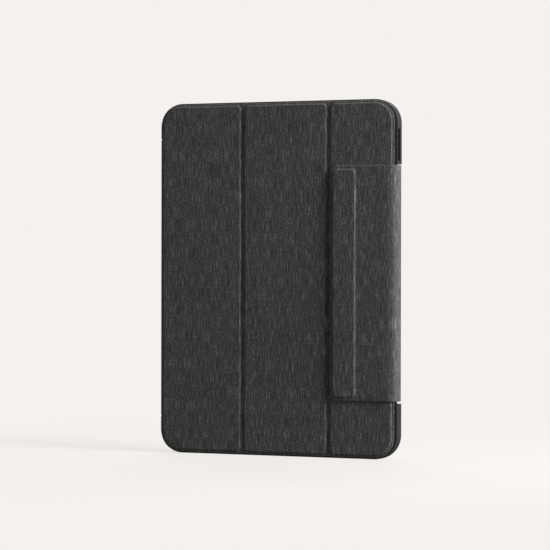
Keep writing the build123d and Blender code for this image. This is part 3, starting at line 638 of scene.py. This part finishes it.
def make_spine():
    """The spine's cloth, from its strip on the tray's back round to the cover's edge."""
    cloth_low, cloth_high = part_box("spine_fabric")
    lining_low, lining_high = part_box("spine_lining")
    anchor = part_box("spine_anchor")[1]
    board_low, board_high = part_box("left_board")
    rim_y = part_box("left_fabric")[0].y + board_high.y - board_low.y
    thick = lining_high.x - cloth_low.x
    cloth = lining_low.x - cloth_low.x
    edge = thick / 2
    back_run = anchor.x - cloth_low.x - SPINE_BACK_TURN
    front_y = rim_y - SPINE_LAP_RISE + SPINE_FRONT_TURN
    side_run = anchor.y - SPINE_BACK_TURN - front_y
    path = Path((anchor.x, anchor.y), 180.0, back_run, (SPINE_BACK_TURN, 90.0), side_run,
                (SPINE_FRONT_TURN, SPINE_LAP_TURN), SPINE_LAP)
    flat = FlatSheet()
    rows = even(cloth_low.z + edge, cloth_high.z - edge, CLOTH_ROWS)
    flat.plain_cell(path.columns(edge, path.length - edge, SPINE_COLUMN), rows)
    seam_run = side_run * SPINE_SEAM
    seam = Vector((0, anchor.y - SPINE_BACK_TURN - seam_run, 0))
    back_width = back_run + SPINE_BACK_TURN * math.pi / 2 + seam_run
    nodes = (("spine_fabric", "spine_anchor"), ("spine_lining",))
    halves = (
        Half("back", back_width, "spine_board", ("shell", "spine"),
             (cloth_low.x + SPINE_BACK_TURN, anchor.y, 0),
             (cloth_low.x, anchor.y - SPINE_BACK_TURN, 0), *nodes),
        Half("front", path.length - back_width, "spine_board", ("spine", "panel_left"),
             (cloth_low.x, front_y, 0), (cloth_low.x + SPINE_FRONT_TURN, rim_y, 0), *nodes),
    )
    lined_sheet("spine", flat, path, cloth, thick, False, seam, (0, -1, 0),
                halves)


# ------------------------------------------------------------ flap
FLAP_BEND_AFTER = 1.9 * MM  # opening the flap bends its cloth from this far past its flat front
FLAP_BEND_BEFORE = 1.3 * MM  # to this far inside it
FLAP_SOFT_TURN = (14.0 * MM, 16.0)  # the cloth starts its front turn gently
FLAP_TIGHT_TURN = 3.7 * MM
FLAP_BACK_TURN = 3.0 * MM
FLAP_CORNER = 6.5 * MM
BAR_FIT = 0.75 * MM  # the cloth starts to climb this far outside the magnet bar
BAR_CLIMB = 0.95 * MM
BAR_CELL = 5.0 * MM  # plain cloth right of the bar that belongs to its cell
BAR_CORNER = 2.4 * MM
BAR_SHRINK = 0.9  # a corner on the bar's right loses this share of each step up the climb
FLAP_COLUMN = 4 * MM


def make_flap():
    """The flap's cloth, from its free edge over the magnet bar and round the side to the tray's back."""
    front_low, front_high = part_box("flap_front_fabric")
    side_low, side_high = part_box("flap_side_fabric")
    lining_low, lining_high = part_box("flap_front_lining")
    bar_low, bar_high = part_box("flap_bar")
    height = bar_high.y - bar_low.y
    thick = lining_high.y - side_low.y
    cloth = lining_low.y - side_low.y
    edge = thick / 2
    soft_radius, soft_turn = FLAP_SOFT_TURN
    lean = math.radians(soft_turn)
    turn_x_run = soft_radius * math.sin(lean) + FLAP_TIGHT_TURN * (1 - math.sin(lean))
    turn_y_run = soft_radius * (1 - math.cos(lean)) + FLAP_TIGHT_TURN * math.cos(lean)
    front_run = side_high.x - turn_x_run - front_low.x
    side_run = side_high.y - side_low.y - turn_y_run - FLAP_BACK_TURN
    back_run = side_high.x - FLAP_BACK_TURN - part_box("flap_anchor")[0].x
    path = Path((front_low.x, side_low.y), 0.0, front_run, FLAP_SOFT_TURN,
                (FLAP_TIGHT_TURN, 90.0 - soft_turn), side_run, (FLAP_BACK_TURN, 90.0), back_run)
    low, high = front_low.z + edge, front_high.z - edge
    cell_end = bar_high.x - front_low.x + BAR_CELL
    flat = FlatSheet()

    bar_left = bar_low.x - front_low.x - BAR_FIT - edge
    bar_right = BAR_CELL - BAR_FIT
    bar_ends = bar_low.z - front_low.z - BAR_FIT - edge
    free, inner, end = ((bar_left, 2 * HEM), (bar_right, 0), (bar_ends, 2 * HEM))
    sides = [track(foot, foot + BAR_CLIMB, first) for foot, first in (free, inner, end, end)]
    free_round = [FLAP_CORNER - edge - inset for inset in sides[0]]
    bar_round = inner_rounding(sides[1], BAR_CORNER, bar_right, BAR_SHRINK)
    flat.raised_cell((edge, cell_end, low, high), sides, (free_round, bar_round, bar_round, free_round),
                     climb(height), PANEL_COLUMNS, CLOTH_ROWS)
    flat.plain_cell(path.columns(cell_end, path.length - edge, FLAP_COLUMN), even(low, high, CLOTH_ROWS))

    seam = Vector((0, side_low.y + turn_y_run + side_run / 2, 0))
    front_width = path.length - side_run / 2 - FLAP_BACK_TURN * math.pi / 2 - back_run
    halves = (
        Half("front", front_width, "flap_bar", ("flap_side", "flap_front"),
             (front_high.x + FLAP_BEND_AFTER, side_low.y, 0),
             (front_high.x - FLAP_BEND_BEFORE, side_low.y, 0),
             ("flap_front_fabric",), ("flap_front_lining",)),
        Half("side", path.length - front_width, "flap_bar", ("shell", "flap_side"),
             (side_high.x - FLAP_BACK_TURN, side_high.y, 0),
             (side_high.x, side_high.y - FLAP_BACK_TURN, 0),
             ("flap_side_fabric", "flap_anchor"), ("flap_side_lining",)),
    )
    lined_sheet("flap", flat, path, cloth, thick, True, seam, (0, 1, 0),
                halves)


# ------------------------------------------------------------ tray lining
LINING_ROUND = 0.12 * MM
LINING_FLAT = math.radians(1)  # faces that meet at less than this are one
LINING_CREASE = 1.0  # edges sharper than this many radians are softened


def make_tray_lining():
    """Microfibre on the tray's floor: the node's own outline with softened edges."""
    work = bmesh.new()
    work.from_mesh(frame["nodes"]["tray_lining"].data)
    bmesh.ops.remove_doubles(work, verts=work.verts[:], dist=WELD)
    bmesh.ops.dissolve_limit(work, angle_limit=LINING_FLAT, verts=work.verts[:], edges=work.edges[:])
    rims = [edge for edge in work.edges
            if len(edge.link_faces) == 2 and edge.calc_face_angle() > LINING_CREASE]
    bmesh.ops.bevel(work, geom=rims, offset=LINING_ROUND, segments=2, profile=0.5, affect="EDGES")
    mesh = bpy.data.meshes.new("tray_microfibre")
    work.to_mesh(mesh)
    work.free()
    cloth = mesh.attributes.new("cloth_uv", "FLOAT_VECTOR", "POINT")
    cloth.data.foreach_set("vector", [value for v in mesh.vertices for value in (v.co.x, v.co.z, 0.0)])
    piece = bpy.data.objects.new("tray_microfibre", mesh)
    bpy.context.scene.collection.objects.link(piece)
    dress(piece, "microfibre", ("tray_lining",))
    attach(piece, "shell")


# ------------------------------------------------------------ CAD parts
def dress_cad():
    """Every CAD node that stays gets its slot's finished material."""
    for row in frame["record"]["subparts"]:
        mesh = frame["nodes"][row["node"]].data
        mesh.materials.clear()
        mesh.materials.append(materials[row["material_slot"]])


# ------------------------------------------------------------ studio
PAPER = (0.913, 0.880, 0.855)
FLOOR_RADIUS = 6.0
COVE = 1.5
WALL = 6.0
COVE_STEPS = 16
ROUND_STEPS = 96
NEAR_STEPS = 4  # rings of the floor out to where the shadows end
SHADE_NEAR = 0.18  # shadows are full within this distance of the case
SHADE_FAR = 0.5  # and gone beyond this one
FLOOR_SHARE = 0.22  # part of the paper's light that shadows can take away
FLOOR_ALBEDO = 0.102
MIX_FIRST, MIX_SECOND, MIX_RESULT = 6, 7, 2  # a mix node's sockets for colours
AMBIENT = 0.20
LIGHTS = (  # name, azimuth and elevation in degrees, distance, width and height in metres, watts
    ("key", 82, 24, 1.6, (0.6, 0.9), 86),
    ("bounce", 50, -2, 1.1, (0.5, 0.12), 3.4),
    ("left_fill", -55, 14, 2.2, (1.2, 1.2), 11),
    ("rear_fill", 205, 42, 2.2, (1.4, 1.2), 52),
)


def make_floor():
    """A round sweep of pale paper: floor, cove and wall. Only the paper near the case takes shadows."""
    line = [(SHADE_FAR * k / NEAR_STEPS, 0.0) for k in range(1, NEAR_STEPS + 1)] + [(FLOOR_RADIUS, 0.0)]
    line += [(FLOOR_RADIUS + COVE * math.sin(a), COVE - COVE * math.cos(a))
             for a in (math.pi / 2 * k / COVE_STEPS for k in range(1, COVE_STEPS + 1))]
    line.append((FLOOR_RADIUS + COVE, WALL))
    turns = [2 * math.pi * k / ROUND_STEPS for k in range(ROUND_STEPS)]
    points = [(radius * math.cos(a), radius * math.sin(a), z) for radius, z in line for a in turns]
    faces = [list(range(ROUND_STEPS))]
    for ring in range(len(line) - 1):
        start = ring * ROUND_STEPS
        for i in range(ROUND_STEPS):
            after = (i + 1) % ROUND_STEPS
            outer = start + ROUND_STEPS
            faces.append([outer + i, outer + after, start + after, start + i])
    mesh = bpy.data.meshes.new("floor")
    mesh.from_pydata(points, [], faces)
    mesh.shade_smooth()
    floor = bpy.data.objects.new("floor", mesh)
    bpy.context.scene.collection.objects.link(floor)
    floor.location.z = cad_box[0][2]
    floor.visible_diffuse = False
    floor.visible_glossy = False
    floor.visible_shadow = False
    mesh.materials.append(studio_paper())


def studio_paper():
    """Paper that glows evenly, but near the case part of its light comes from the lamps and takes shadows."""
    shade = Shade("studio_paper")
    tree = shade.tree
    tree.nodes.remove(shade.shader)
    distance = shade.node("VectorMath", operation="LENGTH")
    shade.join(shade.coordinates(), distance.inputs[0])
    near = shade.node("MapRange", interpolation_type="SMOOTHSTEP")
    near.inputs["From Min"].default_value = SHADE_NEAR
    near.inputs["From Max"].default_value = SHADE_FAR
    near.inputs["To Min"].default_value = 1.0
    near.inputs["To Max"].default_value = 0.0
    shade.join(distance.outputs["Value"], near.inputs["Value"])
    glow = shade.node("Emission")
    glow.inputs["Color"].default_value = (*PAPER, 1)
    shade.join(shade.math("SUBTRACT", 1.0, shade.math("MULTIPLY", near.outputs["Result"], FLOOR_SHARE)),
               glow.inputs["Strength"])
    paper = shade.node("BsdfDiffuse")
    tint = shade.node("Mix", data_type="RGBA")
    tint.inputs[MIX_FIRST].default_value = (0, 0, 0, 1)
    tint.inputs[MIX_SECOND].default_value = (*[c * FLOOR_ALBEDO for c in PAPER], 1)
    shade.join(near.outputs["Result"], tint.inputs["Factor"])
    shade.join(tint.outputs[MIX_RESULT], paper.inputs["Color"])
    both = shade.node("AddShader")
    shade.join(glow.outputs[0], both.inputs[0])
    shade.join(paper.outputs[0], both.inputs[1])
    shade.join(both.outputs[0], tree.nodes["Material Output"].inputs["Surface"])
    return shade.material


def softbox(name, azimuth, elevation, distance, size, power):
    """A soft area light that faces the case. Azimuth 0 is in front of the cover, 90 at its right."""
    a, e = math.radians(azimuth), math.radians(elevation)
    target = Vector((0, 0, tray_high.z / 2))
    away = Vector((math.sin(a) * math.cos(e), -math.cos(a) * math.cos(e), math.sin(e)))
    data = bpy.data.lights.new(name, "AREA")
    data.shape = "RECTANGLE"
    data.size, data.size_y = size
    data.energy = power
    light = bpy.data.objects.new(name, data)
    light.location = target + away * distance
    light.rotation_euler = (-away).to_track_quat("-Z", "Y").to_euler()
    bpy.context.scene.collection.objects.link(light)


def make_studio():
    """The paper, the lamps and a dim even light from all round."""
    make_floor()
    for light in LIGHTS:
        softbox(*light)
    world = bpy.data.worlds.new("studio")
    world.use_nodes = True
    background = world.node_tree.nodes["Background"]
    background.inputs["Color"].default_value = (*PAPER, 1)
    background.inputs["Strength"].default_value = AMBIENT
    bpy.context.scene.world = world
    bpy.context.scene.view_settings.view_transform = "Standard"


make_camera()
materials = make_materials()
make_cover()
make_spine()
make_flap()
make_tray_lining()
dress_cad()
make_studio()
